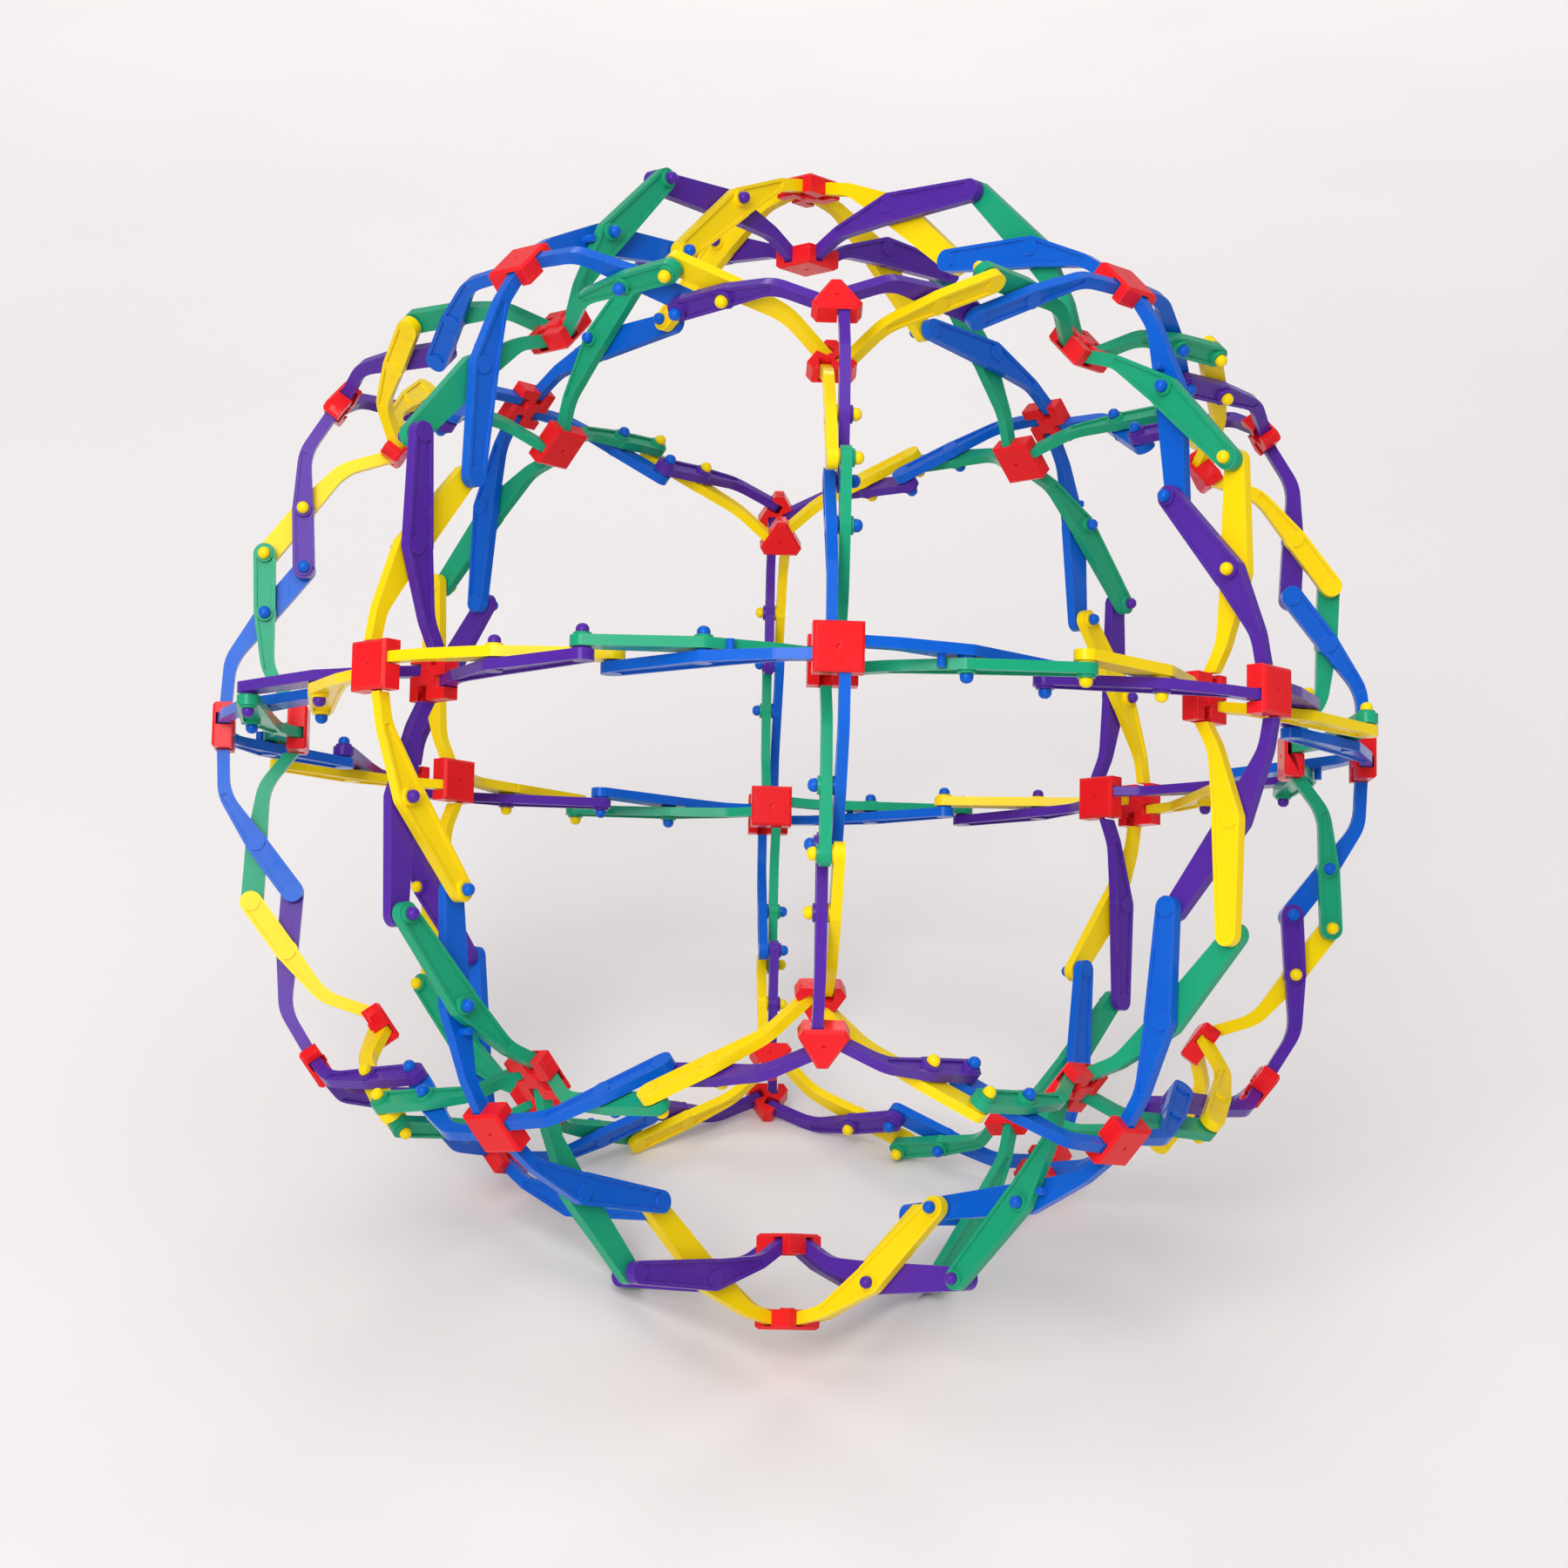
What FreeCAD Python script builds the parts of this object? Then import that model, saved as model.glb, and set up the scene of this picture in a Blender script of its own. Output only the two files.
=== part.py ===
"""Expanding linkage sphere: a folding ball of crossed plastic struts between square and three-way hubs.

The ball has 26 sites on a sphere: 6 where four rings cross (quad), 12 on the edges between them (edge)
and 8 three-way sites (tri).  Each site has an outer and an inner hub.  Neighbouring sites are joined by
two pairs of crossed struts.  One great-circle ring, the equator of the ball, folds on its real pins.
The ball stands on one three-way hub and two middle joints, so its front ring is raised.
Units are millimetres, +Z is up.
"""
import FreeCAD, Part
import itertools
import math
import os

import Sketcher
from FreeCAD import Placement, Rotation, Vector

DIMENSIONS = {
    "strut_circle": 141.0,
    "unit_angle": 11.25,
    "tri_angle": 6.382,
    "fold_angle": 20.2,
    "quad_pivot": 4.2,
    "tri_pivot": 2.425,
    "strut_thick": 2.6,
    "layer_offset": 1.6,
    "mid_outer": 2.9,
    "quad_mid_inner": 5.2,
    "tri_mid_inner": 2.7,
    "end_radius": 2.9,
    "neck_half": 1.65,
    "quad_neck_length": 9.5,
    "quad_neck_rise": 1.5,
    "tri_neck_length": 13.0,
    "tri_neck_rise": 4.0,
    "shoulder_round": 12.0,
    "recess_depth": 0.5,
    "recess_rim": 0.9,
    "trunnion_radius": 0.8,
    "trunnion_reach": 2.1,
    "pin_radius": 1.2,
    "pin_clearance": 0.05,
    "boss_radius": 2.2,
    "boss_proud": 0.7,
    "seat_tall": 0.45,
    "button_radius": 1.6,
    "button_base": 3.75,
    "button_tall": 2.05,
    "stop_reach": 6.4,
    "stop_radius": 1.0,
    "stop_tall": 2.9,
    "hub_half": 5.9,
    "hub_top": 2.75,
    "hub_seam": 1.45,
    "plate_thick": 1.0,
    "slot_half": 1.5,
    "slot_ceiling": 1.85,
    "slot_gap": 0.35,
    "hub_chamfer": 0.7,
    "centre_hole": 0.55,
    "centre_depth": 0.7,
    "hub_boss": 2.0,
    "hub_boss_tall": 0.4,
    "tri_side": 4.2,
    "tri_tip": 6.2,
    "open_gap": 0.3,
}

ROOT_HALF = math.sqrt(0.5)
ROOT_THIRD = math.sqrt(1.0 / 3.0)
ROOT_TWO_THIRDS = math.sqrt(2.0 / 3.0)
QUAD_SITES = {
    "top": (0, 0, 1), "bottom": (0, 0, -1),
    "front_left": (-1, -1, 0), "front_right": (1, -1, 0),
    "rear_left": (-1, 1, 0), "rear_right": (1, 1, 0),
}
EDGE_SITES = {
    "front": (0, -1, 0), "right": (1, 0, 0), "rear": (0, 1, 0), "left": (-1, 0, 0),
    "front_left_high": (-0.5, -0.5, ROOT_HALF), "front_right_high": (0.5, -0.5, ROOT_HALF),
    "rear_left_high": (-0.5, 0.5, ROOT_HALF), "rear_right_high": (0.5, 0.5, ROOT_HALF),
    "front_left_low": (-0.5, -0.5, -ROOT_HALF), "front_right_low": (0.5, -0.5, -ROOT_HALF),
    "rear_left_low": (-0.5, 0.5, -ROOT_HALF), "rear_right_low": (0.5, 0.5, -ROOT_HALF),
}
TRI_SITES = {
    "front_high": (0, -ROOT_TWO_THIRDS, ROOT_THIRD), "front_low": (0, -ROOT_TWO_THIRDS, -ROOT_THIRD),
    "rear_high": (0, ROOT_TWO_THIRDS, ROOT_THIRD), "rear_low": (0, ROOT_TWO_THIRDS, -ROOT_THIRD),
    "left_high": (-ROOT_TWO_THIRDS, 0, ROOT_THIRD), "left_low": (-ROOT_TWO_THIRDS, 0, -ROOT_THIRD),
    "right_high": (ROOT_TWO_THIRDS, 0, ROOT_THIRD), "right_low": (ROOT_TWO_THIRDS, 0, -ROOT_THIRD),
}
# Quad sites whose outer arms are purple and inner arms yellow; the other quads are the other way round.
PURPLE_OUTSIDE = ("front_right", "rear_left")
# The standing ball may touch the floor at this hub and at the outer middle joints of these spans.
FOOT_HUB = "rear_low"
FOOT_SPANS = (("rear_right_low", "bottom"), ("rear_left_low", "bottom"),
              ("rear_right_low", "rear_low"), ("rear_left_low", "rear_low"))
ROUND_STEPS = 90
EQUATOR_TOLERANCE = 1e-6
CONTACT_TOLERANCE = 1e-3


def fill_sheet(doc):
    """Write the driving dimensions into a spreadsheet, one alias per row."""
    sheet = doc.addObject("Spreadsheet::Sheet", "Dimensions")
    for row, (name, value) in enumerate(DIMENSIONS.items(), start=1):
        sheet.set("A%d" % row, name)
        sheet.set("B%d" % row, str(value))
        sheet.setAlias("B%d" % row, name)
    doc.recompute()
    return sheet


def new_body(doc, name):
    body = doc.addObject("PartDesign::Body", name)
    body.Label = name
    return body


def new_sketch(body, name, turn="0", height="0"):
    """Sketch on the body's own XY plane, turned about Z and lifted along Z by sheet expressions."""
    plane = next(item for item in body.Origin.OriginFeatures if item.Role == "XY_Plane")
    sketch = body.newObject("Sketcher::SketchObject", name)
    sketch.AttachmentSupport = [(plane, "")]
    sketch.MapMode = "FlatFace"
    sketch.setExpression("AttachmentOffset.Rotation.Angle", "(%s) * 1 deg" % turn)
    sketch.setExpression("AttachmentOffset.Base.z", "(%s) * 1 mm" % height)
    return sketch


def pin_point(sketch, geometry, vertex, x_rule, y_rule):
    """Hold one sketch point at two sheet expressions measured from the sketch origin."""
    for kind, rule in (("DistanceX", x_rule), ("DistanceY", y_rule)):
        start = sketch.getPoint(geometry, vertex)
        value = start.x if kind == "DistanceX" else start.y
        index = sketch.addConstraint(Sketcher.Constraint(kind, -1, 1, geometry, vertex, value))
        sketch.setExpression("Constraints[%d]" % index, "(%s) * 1 mm" % rule)


def draw_polygon(sketch, corners):
    """Closed polygon; every corner is (x, y, x rule, y rule)."""
    count = len(corners)
    for index, corner in enumerate(corners):
        following = corners[(index + 1) % count]
        start = Vector(corner[0], corner[1], 0)
        end = Vector(following[0], following[1], 0)
        sketch.addGeometry(Part.LineSegment(start, end), False)
    for index in range(count):
        sketch.addConstraint(Sketcher.Constraint("Coincident", index, 2, (index + 1) % count, 1))
    for index, corner in enumerate(corners):
        pin_point(sketch, index, 1, corner[2], corner[3])


def draw_circle(sketch, centre_x, centre_rule, radius_rule, radius):
    """Circle on the sketch's X axis with its centre and radius held by sheet expressions."""
    circle = Part.Circle(Vector(centre_x, 0, 0), Vector(0, 0, 1), radius)
    index = sketch.addGeometry(circle, False)
    pin_point(sketch, index, 3, centre_rule, "0")
    size = sketch.addConstraint(Sketcher.Constraint("Radius", index, radius))
    sketch.setExpression("Constraints[%d]" % size, "(%s) * 1 mm" % radius_rule)


def pad(body, sketch, name, length_rule, downwards=False):
    feature = body.newObject("PartDesign::Pad", name)
    feature.Profile = sketch
    feature.Reversed = downwards
    feature.setExpression("Length", "(%s) * 1 mm" % length_rule)
    return feature


def pocket(body, sketch, name, length_rule, upwards=False):
    feature = body.newObject("PartDesign::Pocket", name)
    feature.Profile = sketch
    feature.Reversed = upwards
    feature.setExpression("Length", "(%s) * 1 mm" % length_rule)
    return feature


def polar(body, feature, name, count):
    """Repeat one feature around the body's Z axis."""
    axis = next(item for item in body.Origin.OriginFeatures if item.Role == "Z_Axis")
    pattern = body.newObject("PartDesign::PolarPattern", name)
    pattern.Originals = [feature]
    pattern.Axis = (axis, [""])
    pattern.Angle = 360
    pattern.Occurrences = count
    body.Tip = pattern
    return pattern


# ---------------------------------------------------------------------------------------------------
# Struts.  The strut frame has its origin on the middle pivot, X along the ring towards the strut's
# far end, Y away from the ball's centre and Z along the pivots.  The hub end lies on the line turned
# by unit_angle, the far end on the line turned back by the far angle, so the strut is a flat chevron.
# ---------------------------------------------------------------------------------------------------
class StrutKind:
    """Rules and values for one strut length: quad sites use 45 degree spans, tri sites 35 degree ones."""

    def __init__(self, name, far_angle, neck):
        size = DIMENSIONS
        self.name = name
        self.turn_hub = "Dimensions.unit_angle"
        self.turn_far = "-Dimensions.%s" % far_angle
        self.hub_rule = "Dimensions.strut_circle * sin(Dimensions.unit_angle * 1 deg)"
        self.far_rule = "Dimensions.strut_circle * sin(Dimensions.%s * 1 deg)" % far_angle
        self.hub = size["strut_circle"] * math.sin(math.radians(size["unit_angle"]))
        self.far = size["strut_circle"] * math.sin(math.radians(size[far_angle]))
        self.neck_rule = "Dimensions.%s_neck_length" % neck
        self.neck = size["%s_neck_length" % neck]
        self.rise_rule = "Dimensions.%s_neck_rise" % neck
        self.rise = size["%s_neck_rise" % neck]
        self.inner_rule = "Dimensions.%s_mid_inner" % neck
        self.inner = size["%s_mid_inner" % neck]


def hub_half(kind, inset=0.0, inset_rule="0"):
    """Corners of the hub side of a strut: the wide middle, the shoulder and the narrow neck."""
    size = DIMENSIONS
    neck_half = size["neck_half"] - inset
    shoulder = kind.hub - kind.neck
    shoulder_rule = "-(%s - %s)" % (kind.hub_rule, kind.neck_rule)
    half_rule = "(Dimensions.neck_half - %s)" % inset_rule
    return [
        (0, size["mid_outer"] - inset, "0", "Dimensions.mid_outer - %s" % inset_rule),
        (-shoulder, kind.rise + neck_half, shoulder_rule, "%s + %s" % (kind.rise_rule, half_rule)),
        (-shoulder, kind.rise - neck_half, shoulder_rule, "%s - %s" % (kind.rise_rule, half_rule)),
        (0, inset - kind.inner, "0", "%s - %s" % (inset_rule, kind.inner_rule)),
    ]


def neck_piece(kind):
    """Corners of the narrow neck between the shoulder and the hub pivot."""
    half = DIMENSIONS["neck_half"]
    shoulder = kind.hub - kind.neck
    shoulder_rule = "-(%s - %s)" % (kind.hub_rule, kind.neck_rule)
    hub_rule = "-(%s)" % kind.hub_rule
    return [
        (-shoulder, kind.rise + half, shoulder_rule, "%s + Dimensions.neck_half" % kind.rise_rule),
        (-kind.hub, half, hub_rule, "Dimensions.neck_half"),
        (-kind.hub, -half, hub_rule, "-Dimensions.neck_half"),
        (-shoulder, kind.rise - half, shoulder_rule, "%s - Dimensions.neck_half" % kind.rise_rule),
    ]


def far_half(kind, inset=0.0, inset_rule="0"):
    """Corners of the far side of a strut, from the middle pivot to the rounded end."""
    size = DIMENSIONS
    end = size["end_radius"] - inset
    end_rule = "Dimensions.end_radius - %s" % inset_rule
    return [
        (0, inset - kind.inner, "0", "%s - %s" % (inset_rule, kind.inner_rule)),
        (kind.far, -end, kind.far_rule, "-(%s)" % end_rule),
        (kind.far, end, kind.far_rule, end_rule),
        (0, size["mid_outer"] - inset, "0", "Dimensions.mid_outer - %s" % inset_rule),
    ]


def round_shoulders(doc, body, name, kind):
    """Smooth the two bends where the neck meets the wide middle."""
    doc.recompute()
    base = body.Tip
    size = DIMENSIONS
    turn = Rotation(Vector(0, 0, 1), size["unit_angle"])
    bends = [turn.multVec(Vector(kind.neck - kind.hub, kind.rise + side * size["neck_half"], 0))
             for side in (1, -1)]
    edges = []
    for index, edge in enumerate(base.Shape.Edges, start=1):
        middle = edge.CenterOfMass
        flat = Vector(middle.x, middle.y, 0)
        upright = edge.BoundBox.ZLength > 0.9 * size["strut_thick"]
        if upright and min(flat.distanceToPoint(bend) for bend in bends) < CONTACT_TOLERANCE:
            edges.append("Edge%d" % index)
    rounds = body.newObject("PartDesign::Fillet", "%s_shoulders" % name)
    rounds.Base = (base, edges)
    rounds.setExpression("Radius", "Dimensions.shoulder_round * 1 mm")
    body.Tip = rounds


def blank_strut(doc, name, kind, floor_rule):
    """Flat plate of a strut whose lower face is at floor_rule, with its eye and trunnions."""
    body = new_body(doc, name)
    outline = (("hub_side", kind.turn_hub, hub_half(kind)), ("neck", kind.turn_hub, neck_piece(kind)),
               ("far_side", kind.turn_far, far_half(kind)))
    for label, turn, corners in outline:
        sketch = new_sketch(body, "%s_%s" % (name, label), turn, floor_rule)
        draw_polygon(sketch, corners)
        pad(body, sketch, "%s_%s_pad" % (name, label), "Dimensions.strut_thick")
    discs = (("eye", kind.turn_hub, -kind.hub, "-(%s)" % kind.hub_rule, "neck_half"),
             ("end", kind.turn_far, kind.far, kind.far_rule, "end_radius"),
             ("middle", "0", 0, "0", "mid_outer"))
    for label, turn, x_value, x_rule, radius in discs:
        sketch = new_sketch(body, "%s_%s" % (name, label), turn, floor_rule)
        draw_circle(sketch, x_value, x_rule, "Dimensions.%s" % radius, DIMENSIONS[radius])
        pad(body, sketch, "%s_%s_pad" % (name, label), "Dimensions.strut_thick")
    round_shoulders(doc, body, name, kind)
    start_rule = "%s + Dimensions.strut_thick / 2 - Dimensions.trunnion_reach" % floor_rule
    sketch = new_sketch(body, "%s_trunnion" % name, kind.turn_hub, start_rule)
    draw_circle(sketch, -kind.hub, "-(%s)" % kind.hub_rule, "Dimensions.trunnion_radius",
                DIMENSIONS["trunnion_radius"])
    pad(body, sketch, "%s_trunnion_pad" % name, "2 * Dimensions.trunnion_reach")
    return body


def recess_strut(body, name, kind, face_rule, from_below):
    """Shallow recess inside the rim of one face, with round pads left standing at the pins."""
    inset = DIMENSIONS["recess_rim"]
    inset_rule = "Dimensions.recess_rim"
    for label, turn, corners in (("hub_recess", kind.turn_hub, hub_half(kind, inset, inset_rule)),
                                 ("far_recess", kind.turn_far, far_half(kind, inset, inset_rule))):
        sketch = new_sketch(body, "%s_%s" % (name, label), turn, face_rule)
        draw_polygon(sketch, corners)
        pocket(body, sketch, "%s_%s_cut" % (name, label), "Dimensions.recess_depth", from_below)


def face_discs(body, name, kind, label, radius, height_rule, length_rule, downwards):
    """Equal round pads on the middle pivot and on the far pivot."""
    places = (("middle", "0", 0, "0"), ("far", kind.turn_far, kind.far, kind.far_rule))
    for where, turn, x_value, x_rule in places:
        sketch = new_sketch(body, "%s_%s_%s" % (name, where, label), turn, height_rule)
        draw_circle(sketch, x_value, x_rule, "Dimensions.%s" % radius, DIMENSIONS[radius])
        pad(body, sketch, "%s_%s_%s_pad" % (name, where, label), length_rule, downwards)


def dome_buttons(doc, body, name):
    """Round over the top edge of each button."""
    doc.recompute()
    base = body.Tip
    top = DIMENSIONS["button_base"] + DIMENSIONS["button_tall"]
    edges = []
    for index, edge in enumerate(base.Shape.Edges, start=1):
        if isinstance(edge.Curve, Part.Circle) and abs(edge.Curve.Center.z - top) < 1e-4:
            edges.append("Edge%d" % index)
    dome = body.newObject("PartDesign::Fillet", "%s_dome" % name)
    dome.Base = (base, edges)
    dome.setExpression("Radius", "Dimensions.button_radius * 0.9 * 1 mm")
    body.Tip = dome


def pin_strut(doc, name, kind, with_stop):
    """Strut with two domed pins; it lies below the ring plane and its pins point up.

    The stop peg meets the crossing strut's outer edge when the ball is fully open.
    """
    floor_rule = "-Dimensions.layer_offset - Dimensions.strut_thick / 2"
    top_rule = "-Dimensions.layer_offset + Dimensions.strut_thick / 2"
    body = blank_strut(doc, name, kind, floor_rule)
    recess_strut(body, name, kind, floor_rule, True)
    face_discs(body, name, kind, "back_pad", "boss_radius", floor_rule, "Dimensions.strut_thick", False)
    face_discs(body, name, kind, "seat", "boss_radius", top_rule, "Dimensions.seat_tall", False)
    pin_rule = "Dimensions.button_base + Dimensions.layer_offset - Dimensions.strut_thick / 2"
    face_discs(body, name, kind, "pin", "pin_radius", top_rule, pin_rule, False)
    face_discs(body, name, kind, "button", "button_radius", "Dimensions.button_base",
               "Dimensions.button_tall", False)
    if with_stop:
        stop = new_sketch(body, "%s_stop" % name, kind.turn_hub, top_rule)
        draw_circle(stop, -DIMENSIONS["stop_reach"], "-Dimensions.stop_reach",
                    "Dimensions.stop_radius", DIMENSIONS["stop_radius"])
        pad(body, stop, "%s_stop_pad" % name, "Dimensions.stop_tall")
    dome_buttons(doc, body, name)
    return body


def hole_strut(doc, name, kind):
    """Strut with two bossed holes that ride on its neighbours' pins; it lies above the ring plane."""
    floor_rule = "Dimensions.layer_offset - Dimensions.strut_thick / 2"
    top_rule = "Dimensions.layer_offset + Dimensions.strut_thick / 2"
    body = blank_strut(doc, name, kind, floor_rule)
    recess_strut(body, name, kind, top_rule, False)
    face_discs(body, name, kind, "boss", "boss_radius", floor_rule,
               "Dimensions.strut_thick + Dimensions.boss_proud", False)
    places = (("middle", "0", 0, "0"), ("far", kind.turn_far, kind.far, kind.far_rule))
    for where, turn, x_value, x_rule in places:
        sketch = new_sketch(body, "%s_%s_hole" % (name, where), turn, "0")
        draw_circle(sketch, x_value, x_rule, "Dimensions.pin_radius + Dimensions.pin_clearance",
                    DIMENSIONS["pin_radius"] + DIMENSIONS["pin_clearance"])
        pocket(body, sketch, "%s_%s_hole_cut" % (name, where), "2 * Dimensions.button_base", True)
    return body


def mirrored(doc, name, source):
    """The other-handed twin of a strut, mirrored in the ring plane."""
    twin = doc.addObject("Part::Mirroring", name)
    twin.Label = name
    twin.Source = source
    twin.Base = Vector(0, 0, 0)
    twin.Normal = Vector(0, 0, 1)
    return twin


def opened(doc, name, source, kind, outer):
    """A strut cut short just outside the hub's side face, for the pivots that stay open."""
    size = DIMENSIONS
    lean = size["unit_angle"] + (size["fold_angle"] if outer else -size["fold_angle"])
    reach = size["hub_half"] - size["quad_pivot"] + size["open_gap"]
    half = 2 * size["hub_half"]
    cutter = doc.addObject("Part::Box", "%s_cutter" % name)
    for side in ("Length", "Width", "Height"):
        cutter.setExpression(side, "4 * Dimensions.hub_half * 1 mm")
    hub_turn = Rotation(Vector(0, 0, 1), size["unit_angle"])
    lean_turn = Rotation(Vector(0, 0, 1), lean)
    pivot = hub_turn.multVec(Vector(-kind.hub, 0, 0))
    corner = pivot + lean_turn.multVec(Vector(reach - 2 * half, -half, 0)) + Vector(0, 0, -half)
    cutter.Placement = Placement(corner, lean_turn)
    short = doc.addObject("Part::Cut", name)
    short.Label = name
    short.Base = source
    short.Tool = cutter
    return short


# ---------------------------------------------------------------------------------------------------
# Hubs.  The hub frame has its origin on the hub's axis at the level of the arm pivots, Z out of the
# closed face and X towards one arm.  Every arm is set to the left of its own centre line.
# ---------------------------------------------------------------------------------------------------
def slot_corners(pivot_name):
    """Corners of the slot that takes one arm; it runs out past the side of the hub."""
    size = DIMENSIONS
    start = size[pivot_name] - size["neck_half"] - size["slot_gap"]
    start_rule = "Dimensions.%s - Dimensions.neck_half - Dimensions.slot_gap" % pivot_name
    end = 2 * size["hub_half"]
    end_rule = "2 * Dimensions.hub_half"
    low = size["layer_offset"] - size["slot_half"]
    low_rule = "Dimensions.layer_offset - Dimensions.slot_half"
    high = size["layer_offset"] + size["slot_half"]
    high_rule = "Dimensions.layer_offset + Dimensions.slot_half"
    return [
        (start, low, start_rule, low_rule),
        (end, low, end_rule, low_rule),
        (end, high, end_rule, high_rule),
        (start, high, start_rule, high_rule),
    ]


def channel_corners(pivot_name):
    """Corners of the cross channel that lets one pair of trunnions drop in from the open side."""
    size = DIMENSIONS
    half = size["trunnion_radius"] + size["pin_clearance"]
    half_rule = "Dimensions.trunnion_radius + Dimensions.pin_clearance"
    pivot = size[pivot_name]
    pivot_rule = "Dimensions.%s" % pivot_name
    reach = size["trunnion_reach"] + size["pin_clearance"]
    reach_rule = "Dimensions.trunnion_reach + Dimensions.pin_clearance"
    layer = size["layer_offset"]
    left, right = "%s - (%s)" % (pivot_rule, half_rule), "%s + (%s)" % (pivot_rule, half_rule)
    below = "Dimensions.layer_offset - (%s)" % reach_rule
    above = "Dimensions.layer_offset + %s" % reach_rule
    return [
        (pivot - half, layer - reach, left, below),
        (pivot + half, layer - reach, right, below),
        (pivot + half, layer + reach, right, above),
        (pivot - half, layer + reach, left, above),
    ]


def square_corners():
    half = DIMENSIONS["hub_half"]
    plus = "Dimensions.hub_half"
    minus = "-Dimensions.hub_half"
    return [(-half, -half, minus, minus), (half, -half, plus, minus),
            (half, half, plus, plus), (-half, half, minus, plus)]


def tri_corners():
    """Corners of a triangle with cut-off tips; its flat sides face the three arms."""
    side, tip = DIMENSIONS["tri_side"], DIMENSIONS["tri_tip"]
    shared_rule = "(2 * Dimensions.tri_side - Dimensions.tri_tip) * tan(30 * 1 deg)"
    half = (2 * side - tip) * math.tan(math.radians(30))
    corners = []
    for lobe in (60, 180, 300):
        turn = math.radians(lobe)
        for sign in (-1, 1):
            x_value = tip * math.cos(turn) - sign * half * math.sin(turn)
            y_value = tip * math.sin(turn) + sign * half * math.cos(turn)
            x_rule = "Dimensions.tri_tip * cos(%d * 1 deg) - %d * %s * sin(%d * 1 deg)" % (
                lobe, sign, shared_rule, lobe)
            y_rule = "Dimensions.tri_tip * sin(%d * 1 deg) + %d * %s * cos(%d * 1 deg)" % (
                lobe, sign, shared_rule, lobe)
            corners.append((x_value, y_value, x_rule, y_rule))
    return corners


def hub_blank(body, name, arms, floor_rule, length_rule):
    """Square block for four arms, or a triangle with cut-off tips for three."""
    sketch = new_sketch(body, "%s_outline" % name, "0", floor_rule)
    draw_polygon(sketch, square_corners() if arms == 4 else tri_corners())
    pad(body, sketch, "%s_block" % name, length_rule)


def chamfer_rim(doc, body, name, level):
    """Bevel the outer rim of a hub at one level."""
    doc.recompute()
    base = body.Tip
    reach = 0.6 * DIMENSIONS["hub_half"]
    edges = []
    for index, edge in enumerate(base.Shape.Edges, start=1):
        box = edge.BoundBox
        if abs(box.ZMin - level) < 1e-4 and abs(box.ZMax - level) < 1e-4:
            if edge.CenterOfMass.Length > reach:
                edges.append("Edge%d" % index)
    bevel = body.newObject("PartDesign::Chamfer", "%s_bevel" % name)
    bevel.Base = (base, edges)
    bevel.setExpression("Size", "Dimensions.hub_chamfer * 1 mm")
    body.Tip = bevel


def hub_core(doc, name, arms, pivot_name):
    """Hub block with its arm slots, trunnion channels and the small blind hole in its closed face."""
    body = new_body(doc, name)
    floor_rule = "-Dimensions.hub_seam"
    hub_blank(body, name, arms, floor_rule, "Dimensions.hub_top + Dimensions.hub_seam")
    chamfer_rim(doc, body, name, DIMENSIONS["hub_top"])
    slot = new_sketch(body, "%s_slot" % name, "0", floor_rule)
    draw_polygon(slot, slot_corners(pivot_name))
    slot_cut = pocket(body, slot, "%s_slot_cut" % name,
                      "Dimensions.hub_seam + Dimensions.slot_ceiling", True)
    polar(body, slot_cut, "%s_slots" % name, arms)
    channel = new_sketch(body, "%s_channel" % name, "0", floor_rule)
    draw_polygon(channel, channel_corners(pivot_name))
    channel_cut = pocket(body, channel, "%s_channel_cut" % name,
                         "Dimensions.hub_seam + Dimensions.trunnion_radius + Dimensions.pin_clearance", True)
    polar(body, channel_cut, "%s_channels" % name, arms)
    hole = new_sketch(body, "%s_hole" % name, "0", "Dimensions.hub_top")
    draw_circle(hole, 0, "0", "Dimensions.centre_hole", DIMENSIONS["centre_hole"])
    pocket(body, hole, "%s_hole_cut" % name, "Dimensions.centre_depth")
    return body


def hub_plate(doc, name, arms, pivot_name):
    """Thin retaining plate that closes the trunnion channels on the hub's open side."""
    body = new_body(doc, name)
    floor_rule = "-Dimensions.hub_seam - Dimensions.plate_thick"
    hub_blank(body, name, arms, floor_rule, "Dimensions.plate_thick")
    slot = new_sketch(body, "%s_slot" % name, "0", floor_rule)
    draw_polygon(slot, slot_corners(pivot_name))
    slot_cut = pocket(body, slot, "%s_slot_cut" % name, "Dimensions.plate_thick", True)
    polar(body, slot_cut, "%s_slots" % name, arms)
    boss = new_sketch(body, "%s_boss" % name, "0", floor_rule)
    radius = "Dimensions.hub_boss" if arms == 4 else "Dimensions.hub_boss / 2"
    draw_circle(boss, 0, "0", radius, DIMENSIONS["hub_boss"] * (1.0 if arms == 4 else 0.5))
    pad(body, boss, "%s_boss_pad" % name, "Dimensions.hub_boss_tall", True)
    return body


# ---------------------------------------------------------------------------------------------------
# Layout of the ball
# ---------------------------------------------------------------------------------------------------
def site_table():
    """Every site as name: (kind, outward direction)."""
    table = {}
    for kind, group in (("quad", QUAD_SITES), ("edge", EDGE_SITES), ("tri", TRI_SITES)):
        for name, direction in group.items():
            table[name] = (kind, Vector(*direction).normalize())
    return table


def span_table(sites):
    """Pairs of neighbouring sites; the first is always an edge site."""
    spans = []
    for start, (start_kind, start_way) in sites.items():
        if start_kind != "edge":
            continue
        for end, (end_kind, end_way) in sites.items():
            limit = {"quad": 46.0, "tri": 36.0, "edge": 0.0}[end_kind]
            if math.degrees(start_way.getAngle(end_way)) < limit:
                spans.append((start, end))
    return spans


def on_equator(way):
    return abs(way.z) < EQUATOR_TOLERANCE


def pivot_offset(kind):
    return DIMENSIONS["tri_pivot"] if kind == "tri" else DIMENSIONS["quad_pivot"]


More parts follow.
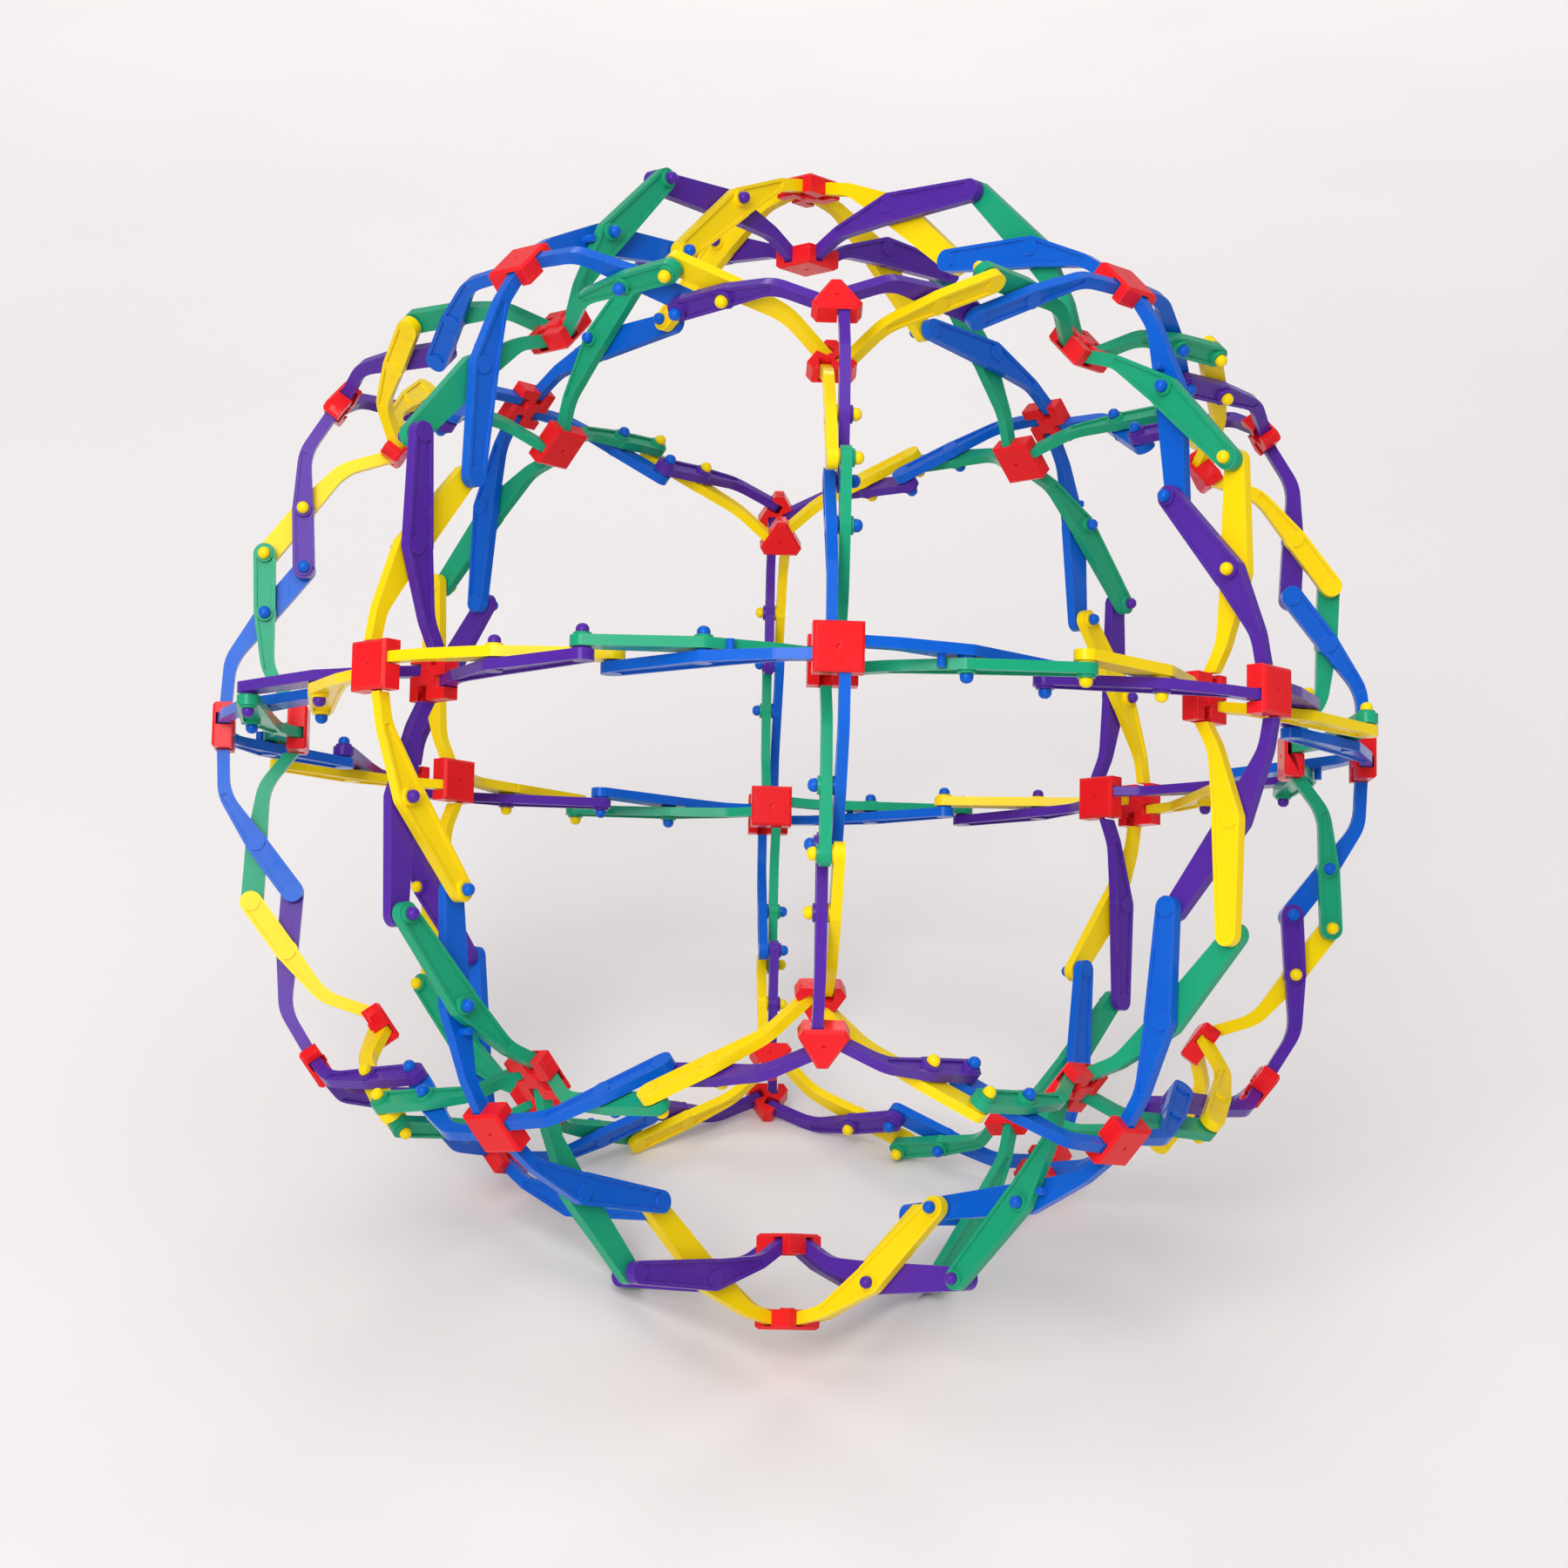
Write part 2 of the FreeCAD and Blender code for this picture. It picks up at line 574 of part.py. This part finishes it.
def heading(here, there):
    """Direction along the ball's surface at 'here' that leads to 'there'."""
    return (there - here * math.cos(here.getAngle(there))).normalize()


def span_centre(here, there, here_offset, there_offset):
    """Meeting point of the two pivot lines of a span."""
    angle = here.getAngle(there)
    depth = (there_offset + here_offset * math.cos(angle)) / math.sin(angle)
    return here * depth + heading(here, there) * here_offset


def hub_radius(kind, outer):
    """Distance of a hub's pivots from the centre of the ball, as the ball stands."""
    size = DIMENSIONS
    partner = "quad" if kind == "edge" else "edge"
    angle = math.acos(ROOT_TWO_THIRDS) if kind == "tri" else math.radians(45.0)
    depth = (pivot_offset(partner) + pivot_offset(kind) * math.cos(angle)) / math.sin(angle)
    turn = -size["unit_angle"] if outer else size["unit_angle"]
    return depth + size["strut_circle"] * math.cos(math.radians(size["fold_angle"] + turn))


def frame(x_axis, y_axis, z_axis, origin):
    rotation = Rotation(x_axis, y_axis, z_axis, "ZXY")
    return Placement(origin, rotation)


def hub_place(sites, spans, name, outer):
    kind, way = sites[name]
    neighbour = next(other for pair in spans if name in pair for other in pair if other != name)
    towards = heading(way, sites[neighbour][1])
    closed = way if outer else way * -1
    return frame(towards, closed.cross(towards), closed, way * hub_radius(kind, outer))


def strut_place(sites, here, there, outer):
    """Place of the strut that hangs on one hub of 'here' and reaches towards 'there'."""
    size = DIMENSIONS
    here_kind, here_way = sites[here]
    there_kind, there_way = sites[there]
    centre = span_centre(here_way, there_way, pivot_offset(here_kind), pivot_offset(there_kind))
    towards = heading(here_way, there_way)
    unit = math.radians(size["unit_angle"])
    outward = here_way * math.cos(unit) + towards * math.sin(unit)
    along = towards * math.cos(unit) - here_way * math.sin(unit)
    fold = size["fold_angle"]
    middle = centre + outward * (size["strut_circle"] * math.cos(math.radians(fold)))
    turn = Rotation(Vector(0, 0, 1), -fold if outer else fold)
    base = frame(along, outward, along.cross(outward), middle)
    return base.multiply(Placement(Vector(0, 0, 0), turn))


def arm_colour(site_kind, name, outer):
    """Colour of the arms on one hub."""
    if site_kind == "edge":
        return "blue" if outer else "green"
    if site_kind == "tri" or name in PURPLE_OUTSIDE:
        return "purple" if outer else "yellow"
    return "yellow" if outer else "purple"


def outline_points(piece, place):
    """Points along every edge of a placed piece, close together on the round edges."""
    shape = piece.Shape.copy()
    shape.Placement = place
    points = []
    for edge in shape.Edges:
        points.extend(edge.discretize(2 if isinstance(edge.Curve, Part.Line) else ROUND_STEPS))
    return points


def foot_clouds(sites, spans, pieces):
    """The point clouds of the places that the ball may stand on."""
    clouds = [outline_points(pieces["core", 3], hub_place(sites, spans, FOOT_HUB, True))]
    for start, end in FOOT_SPANS:
        length = "quad" if sites[end][0] == "quad" else "tri"
        cloud = outline_points(pieces["hole", length, "left"], strut_place(sites, start, end, False))
        cloud.extend(outline_points(pieces["pin", length, "right"], strut_place(sites, end, start, False)))
        clouds.append(cloud)
    return clouds


def floor_plane(clouds, down):
    """Direction and distance of the floor that touches three clouds from below."""
    for _ in range(12):
        touch = [max(cloud, key=lambda point: point.dot(down)) for cloud in clouds]
        normal = (touch[1] - touch[0]).cross(touch[2] - touch[0]).normalize()
        down = normal if normal.dot(down) > 0 else normal * -1
    return down, touch


def stands_inside(down, touch):
    """True if the ball's centre is above the triangle of its three contacts."""
    foot = down * touch[0].dot(down)
    turns = []
    for index in range(3):
        side = touch[(index + 1) % 3] - touch[index]
        turns.append(side.cross(foot - touch[index]).dot(down) > 0)
    return all(turns) or not any(turns)


def standing_place(sites, spans, pieces):
    """Placement that sets the ball on its three lowest places with its front hub towards -Y."""
    clouds = foot_clouds(sites, spans, pieces)
    guess = sites["bottom"][1] + sites[FOOT_HUB][1]
    for trio in itertools.combinations(clouds, 3):
        down, touch = floor_plane(trio, guess)
        deepest = max(point.dot(down) for cloud in clouds for point in cloud)
        if deepest < touch[0].dot(down) + CONTACT_TOLERANCE and stands_inside(down, touch):
            break
    up = down * -1
    front = sites["front"][1]
    back = (front - up * front.dot(up)).normalize() * -1
    world = Rotation(back.cross(up), back, up, "ZYX")
    return Placement(Vector(0, 0, deepest), world.inverted())


def masters(doc):
    """All the different pieces, each built once at the origin."""
    quad = StrutKind("quad", "unit_angle", "quad")
    tri = StrutKind("tri", "tri_angle", "tri")
    pieces = {}
    for kind in (quad, tri):
        plain_pin = pin_strut(doc, "pin_strut_%s_plain" % kind.name, kind, False)
        left_pin = plain_pin
        if kind is quad:
            left_pin = pin_strut(doc, "pin_strut_quad_left", kind, True)
        left_hole = hole_strut(doc, "hole_strut_%s_left" % kind.name, kind)
        pieces["pin", kind.name, "left"] = left_pin
        pieces["hole", kind.name, "left"] = left_hole
        pieces["pin", kind.name, "right"] = mirrored(doc, "pin_strut_%s_right" % kind.name, plain_pin)
        pieces["hole", kind.name, "right"] = mirrored(doc, "hole_strut_%s_right" % kind.name, left_hole)
    for form, kind, hand, outer in (("pin", tri, "left", True), ("hole", tri, "left", False),
                                    ("hole", quad, "right", True), ("pin", quad, "right", False)):
        name = "%s_strut_%s_%s_open" % (form, kind.name, hand)
        pieces[form, kind.name, hand, "open"] = opened(doc, name, pieces[form, kind.name, hand], kind, outer)
    for arms, pivot_name in ((4, "quad_pivot"), (3, "tri_pivot")):
        pieces["core", arms] = hub_core(doc, "hub_core_%d" % arms, arms, pivot_name)
        pieces["plate", arms] = hub_plate(doc, "hub_plate_%d" % arms, arms, pivot_name)
    doc.recompute()
    return pieces


def collect(sites, spans, pieces):
    """Node name to the list of (piece, place) that it holds."""
    nodes = {}

    def add(node, piece, place):
        nodes.setdefault(node, []).append((piece, place))

    for name, (kind, way) in sites.items():
        arms = 3 if kind == "tri" else 4
        for outer in (True, False):
            side = "outer" if outer else "inner"
            node = "%s_hub_%s" % (side, name)
            if not on_equator(way):
                node = "%s_%s_hubs" % ("upper" if way.z > 0 else "lower", side)
            place = hub_place(sites, spans, name, outer)
            add(node, pieces["core", arms], place)
            add(node, pieces["plate", arms], place)
    for start, end in spans:
        length = "quad" if sites[end][0] == "quad" else "tri"
        level = on_equator(sites[start][1]) and on_equator(sites[end][1])
        for here, there, hand in ((start, end, "left"), (end, start, "right")):
            for outer in (True, False):
                form = "pin" if outer == (hand == "left") else "hole"
                colour = arm_colour(sites[here][0], here, outer)
                key = (form, length, hand)
                if level:
                    node = "%s_strut_%s_to_%s" % (colour, here, there)
                else:
                    height = sites[here][1].z + sites[there][1].z
                    node = "%s_%s_struts" % ("upper" if height > 0 else "lower", colour)
                    if on_equator(sites[here][1]) and not (here == "front" and outer):
                        key = key + ("open",)
                add(node, pieces[key], strut_place(sites, here, there, outer))
    return nodes


def assemble(doc, nodes, ball):
    """One compound for each node, made of links to the master pieces."""
    made = []
    for node, members in nodes.items():
        links = []
        for index, (piece, place) in enumerate(members):
            link = doc.addObject("App::Link", "%s_piece_%d" % (node, index))
            link.LinkedObject = piece
            link.LinkTransform = False
            link.Placement = ball.multiply(place)
            links.append(link)
        group = doc.addObject("Part::Compound", node)
        group.Label = node
        group.Links = links
        made.append(group)
    doc.recompute()
    return made


def check_and_export(doc, made):
    for item in doc.Objects:
        if "Invalid" in item.State or "Error" in item.State:
            raise RuntimeError("failed object: " + item.Label)
    os.makedirs("parts", exist_ok=True)
    for group in made:
        shape = group.Shape
        if shape.isNull() or not shape.isValid():
            raise RuntimeError("bad shape: " + group.Label)
        shape.exportStep("parts/%s.step" % group.Label)


def main():
    doc = FreeCAD.newDocument("expanding_sphere")
    fill_sheet(doc)
    pieces = masters(doc)
    sites = site_table()
    spans = span_table(sites)
    nodes = collect(sites, spans, pieces)
    made = assemble(doc, nodes, standing_place(sites, spans, pieces))
    check_and_export(doc, made)
    print("nodes", len(made), "solids", sum(len(group.Shape.Solids) for group in made))


main()
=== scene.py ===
"""Looks of the expanding linkage sphere: gloss plastics with rounded edges, and a pale studio round them.

Every CAD piece keeps its shape and gets a moulded plastic finish.  Units are metres, +Z is up.
"""

import math

import bpy
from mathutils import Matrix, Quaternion, Vector

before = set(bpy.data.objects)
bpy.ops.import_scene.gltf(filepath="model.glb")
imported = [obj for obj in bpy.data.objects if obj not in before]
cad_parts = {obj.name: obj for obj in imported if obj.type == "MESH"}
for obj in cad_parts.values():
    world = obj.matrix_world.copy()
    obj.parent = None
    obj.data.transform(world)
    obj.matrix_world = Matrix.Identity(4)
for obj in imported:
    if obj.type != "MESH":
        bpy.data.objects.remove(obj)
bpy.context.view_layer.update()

# Base colours of the five plastics, linear.
PLASTICS = {
    "red": (0.78, 0.008, 0.012),
    "blue": (0.0, 0.105, 0.57),
    "green": (0.008, 0.33, 0.165),
    "yellow": (0.92, 0.66, 0.0),
    "purple": (0.080, 0.018, 0.315),
}
HUB_COLOUR = "red"
EDGE_ROUND = {"hub": 0.00022, "strut": 0.00032}

# Modifiers that turn the CAD facets into moulded edges.
WELD_REACH = 2e-6
FLAT_ANGLE = math.radians(0.5)
EDGE_ANGLE = math.radians(38)
EDGE_SEGMENTS = 2
SHADE_WEIGHT = 60

# Surface details: features to the metre, and how deep they are in metres.
BATCH_SCALE = 22.0
HAZE_SCALE = 90.0
SCUFF_SCALE = 900.0
SCUFF_STRETCH = (1.0, 0.08, 0.35)
WEAR_SCALE = 260.0
WEAR_REACH = 0.0005
SINK_SCALE = 55.0
SINK_DEPTH = 0.00008
GRAIN_SCALE = 2600.0
GRAIN_DEPTH = 0.000012

# Gloss of the plastics.
HAZE_ROUGHNESS = (0.17, 0.24)
SCUFF_ROUGHNESS = 0.12
WEAR_ROUGHNESS = 0.10
PLASTIC_IOR = 1.46
PLASTIC_SPECULAR = 0.26

BALL_CENTRE = Vector((0.0, 0.0, 0.143))
CAMERA_AZIMUTH = -3.57
CAMERA_ELEVATION = 23.64
CAMERA_ROLL = 3.0
CAMERA_DISTANCE = 1.04
CAMERA_LENS = 91.1
CAMERA_SHIFT = (-0.009, -0.026)

FLOOR_RADIUS = 7.0
FLOOR_SIDES = 96
FLOOR_COLOUR = (0.785, 0.757, 0.748)
FLOOR_SPECULAR = 0.25

SKY_COLOUR = (0.97, 0.96, 1.0)
SKY_STRENGTH = 0.42
# Name, place, aim, size, power and colour; places and aims are measured from the middle of the ball.
SOFT_LIGHTS = (
    ("key", (-0.9, -2.1, 1.6), (0.0, 0.0, 0.0), 1.5, 50.0, (1.0, 0.985, 0.97)),
    ("overhead", (-0.1, -0.9, 2.4), (0.0, 0.0, 0.0), 2.4, 26.0, (0.98, 0.985, 1.0)),
    ("far_floor", (0.0, 2.6, 1.8), (0.0, 2.9, 0.0), 2.2, 45.0, (1.0, 0.99, 0.985)),
)


class Shader:
    """A material's node tree with short calls for the nodes that the finishes share."""

    EDGE_SAMPLES = 4

    def __init__(self, name):
        self.material = bpy.data.materials.new(name)
        self.material.use_nodes = True
        self.nodes = self.material.node_tree.nodes
        self.links = self.material.node_tree.links
        self.surface = self.nodes["Principled BSDF"]
        self.place = self.nodes.new("ShaderNodeTexCoord").outputs["Object"]

    def noise(self, scale, detail=2.0, stretch=None):
        """Noise value at 'scale' features to the metre, optionally drawn out along the axes."""
        node = self.nodes.new("ShaderNodeTexNoise")
        node.inputs["Scale"].default_value = scale
        node.inputs["Detail"].default_value = detail
        place = self.place
        if stretch:
            mapping = self.nodes.new("ShaderNodeMapping")
            mapping.inputs["Scale"].default_value = stretch
            self.links.new(place, mapping.inputs["Vector"])
            place = mapping.outputs["Vector"]
        self.links.new(place, node.inputs["Vector"])
        return node.outputs["Fac"]

    def spread(self, value, low, high, start=0.3, end=0.7):
        """value from start to end becomes low to high."""
        node = self.nodes.new("ShaderNodeMapRange")
        node.inputs["From Min"].default_value = start
        node.inputs["From Max"].default_value = end
        node.inputs["To Min"].default_value = low
        node.inputs["To Max"].default_value = high
        self.links.new(value, node.inputs["Value"])
        return node.outputs["Result"]

    def blend(self, factor, first, second):
        """Colour that goes from first to second; either may be a colour or a socket."""
        node = self.nodes.new("ShaderNodeMix")
        node.data_type = "RGBA"
        self.links.new(factor, node.inputs["Factor"])
        for socket, colour in (("A", first), ("B", second)):
            slot = next(s for s in node.inputs if s.name == socket and s.type == "RGBA")
            if isinstance(colour, tuple):
                slot.default_value = (*colour, 1.0)
            else:
                self.links.new(colour, slot)
        return next(s for s in node.outputs if s.type == "RGBA")

    def combine(self, operation, first, second):
        """Sum or product of two values."""
        node = self.nodes.new("ShaderNodeMath")
        node.operation = operation
        self.links.new(first, node.inputs[0])
        self.links.new(second, node.inputs[1])
        return node.outputs["Value"]

    def bump(self, height, depth, under=None):
        """Raises the surface by height times depth (metres), on top of another bump."""
        node = self.nodes.new("ShaderNodeBump")
        node.inputs["Distance"].default_value = depth
        self.links.new(height, node.inputs["Height"])
        if under:
            self.links.new(under, node.inputs["Normal"])
        return node.outputs["Normal"]

    def worn(self, reach):
        """0 on flats to 1 within reach (metres) of an edge, broken up by noise."""
        rounded = self.nodes.new("ShaderNodeBevel")
        rounded.samples = self.EDGE_SAMPLES
        rounded.inputs["Radius"].default_value = reach
        geometry = self.nodes.new("ShaderNodeNewGeometry")
        agree = self.nodes.new("ShaderNodeVectorMath")
        agree.operation = "DOT_PRODUCT"
        self.links.new(rounded.outputs["Normal"], agree.inputs[0])
        self.links.new(geometry.outputs["Normal"], agree.inputs[1])
        edge = self.spread(agree.outputs["Value"], 1.0, 0.0, 0.80, 0.98)
        patches = self.spread(self.noise(WEAR_SCALE, 3.0), 0.2, 1.0, 0.40, 0.60)
        return self.combine("MULTIPLY", edge, patches)


def tint(colour, factor):
    """Colour made darker or lighter."""
    return tuple(min(1.0, channel * factor) for channel in colour)


def toward_white(colour, share):
    """Colour mixed with a share of white."""
    return tuple(channel + (1.0 - channel) * share for channel in colour)


def moulded_plastic(name, colour):
    """Gloss injection-moulded plastic: batch tint, sink marks, fine grain, scuffs and rubbed edges."""
    shader = Shader(name)
    batch = shader.spread(shader.noise(BATCH_SCALE, 1.0), 0.0, 1.0)
    base = shader.blend(batch, tint(colour, 0.95), toward_white(tint(colour, 1.03), 0.008))
    wear = shader.worn(WEAR_REACH)
    faint = shader.spread(wear, 0.0, 0.35, 0.0, 1.0)
    shaded = shader.blend(faint, base, toward_white(colour, 0.12))
    shader.links.new(shaded, shader.surface.inputs["Base Color"])
    haze = shader.spread(shader.noise(HAZE_SCALE, 3.0), *HAZE_ROUGHNESS)
    scuff = shader.spread(shader.noise(SCUFF_SCALE, 2.0, SCUFF_STRETCH), 0.0, SCUFF_ROUGHNESS, 0.62, 0.72)
    rubbed = shader.spread(wear, 0.0, WEAR_ROUGHNESS, 0.0, 1.0)
    roughness = shader.combine("ADD", shader.combine("ADD", haze, scuff), rubbed)
    shader.links.new(roughness, shader.surface.inputs["Roughness"])
    sink = shader.bump(shader.noise(SINK_SCALE, 1.0), SINK_DEPTH)
    grain = shader.bump(shader.noise(GRAIN_SCALE, 2.0), GRAIN_DEPTH, sink)
    shader.links.new(grain, shader.surface.inputs["Normal"])
    shader.surface.inputs["IOR"].default_value = PLASTIC_IOR
    shader.surface.inputs["Specular IOR Level"].default_value = PLASTIC_SPECULAR
    shader.surface.inputs["Specular Tint"].default_value = (*toward_white(colour, 0.6), 1.0)
    return shader.material


def colour_of(node):
    """Name of the plastic that a CAD node is moulded from."""
    if "hub" in node:
        return HUB_COLOUR
    return next(colour for colour in PLASTICS if colour in node.split("_"))


def round_edges(piece, width):
    """Joins the facets of flat faces and rounds the moulded edges."""
    weld = piece.modifiers.new("weld", "WELD")
    weld.merge_threshold = WELD_REACH
    flats = piece.modifiers.new("flats", "DECIMATE")
    flats.decimate_type = "DISSOLVE"
    flats.angle_limit = FLAT_ANGLE
    edge = piece.modifiers.new("edge", "BEVEL")
    edge.width = width
    edge.segments = EDGE_SEGMENTS
    edge.limit_method = "ANGLE"
    edge.angle_limit = EDGE_ANGLE
    edge.use_clamp_overlap = True
    shade = piece.modifiers.new("shade", "WEIGHTED_NORMAL")
    shade.mode = "FACE_AREA"
    shade.weight = SHADE_WEIGHT


def dress_nodes():
    """Gives every CAD node its plastic and its rounded edges."""
    finishes = {name: moulded_plastic("plastic_" + name, colour) for name, colour in PLASTICS.items()}
    for name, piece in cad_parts.items():
        piece.data.materials.clear()
        piece.data.materials.append(finishes[colour_of(name)])
        round_edges(piece, EDGE_ROUND["hub" if "hub" in name else "strut"])


def studio_floor():
    """Pale seamless floor with a faint mottle."""
    shader = Shader("studio_paper")
    mottle = shader.spread(shader.noise(2.2, 3.0), 0.0, 1.0)
    paper = shader.blend(mottle, tint(FLOOR_COLOUR, 0.975), tint(FLOOR_COLOUR, 1.02))
    shader.links.new(paper, shader.surface.inputs["Base Color"])
    shader.links.new(shader.spread(shader.noise(9.0), 0.55, 0.68), shader.surface.inputs["Roughness"])
    shader.surface.inputs["Specular IOR Level"].default_value = FLOOR_SPECULAR
    bpy.ops.mesh.primitive_circle_add(vertices=FLOOR_SIDES, radius=FLOOR_RADIUS, fill_type="NGON")
    floor = bpy.context.object
    floor.name = "studio_floor"
    floor.data.materials.append(shader.material)


def soft_light(name, place, aim, size, power, colour):
    """Round soft box."""
    light = bpy.data.lights.new(name, "AREA")
    light.shape = "DISK"
    light.size = size
    light.energy = power
    light.color = colour
    lamp = bpy.data.objects.new(name, light)
    lamp.location = BALL_CENTRE + Vector(place)
    lamp.rotation_euler = (Vector(aim) - Vector(place)).to_track_quat("-Z", "Y").to_euler()
    bpy.context.scene.collection.objects.link(lamp)


def studio_light():
    """Pale sky and the three soft boxes."""
    world = bpy.data.worlds.new("studio")
    world.use_nodes = True
    sky = world.node_tree.nodes["Background"]
    sky.inputs["Color"].default_value = (*SKY_COLOUR, 1.0)
    sky.inputs["Strength"].default_value = SKY_STRENGTH
    bpy.context.scene.world = world
    for light in SOFT_LIGHTS:
        soft_light(*light)
    bpy.context.scene.view_settings.view_transform = "Standard"


def studio_camera():
    """Camera at the photograph's viewing angle, with its slight roll."""
    azimuth = math.radians(CAMERA_AZIMUTH)
    elevation = math.radians(CAMERA_ELEVATION)
    back = Vector((math.sin(azimuth) * math.cos(elevation), -math.cos(azimuth) * math.cos(elevation),
                   math.sin(elevation)))
    lens = bpy.data.cameras.new("camera")
    lens.lens = CAMERA_LENS
    lens.shift_x, lens.shift_y = CAMERA_SHIFT
    camera = bpy.data.objects.new("camera", lens)
    camera.location = BALL_CENTRE + back * CAMERA_DISTANCE
    camera.rotation_mode = "QUATERNION"
    roll = Quaternion((0.0, 0.0, 1.0), math.radians(CAMERA_ROLL))
    camera.rotation_quaternion = (-back).to_track_quat("-Z", "Y") @ roll
    bpy.context.scene.collection.objects.link(camera)
    bpy.context.scene.camera = camera


dress_nodes()
studio_floor()
studio_light()
studio_camera()
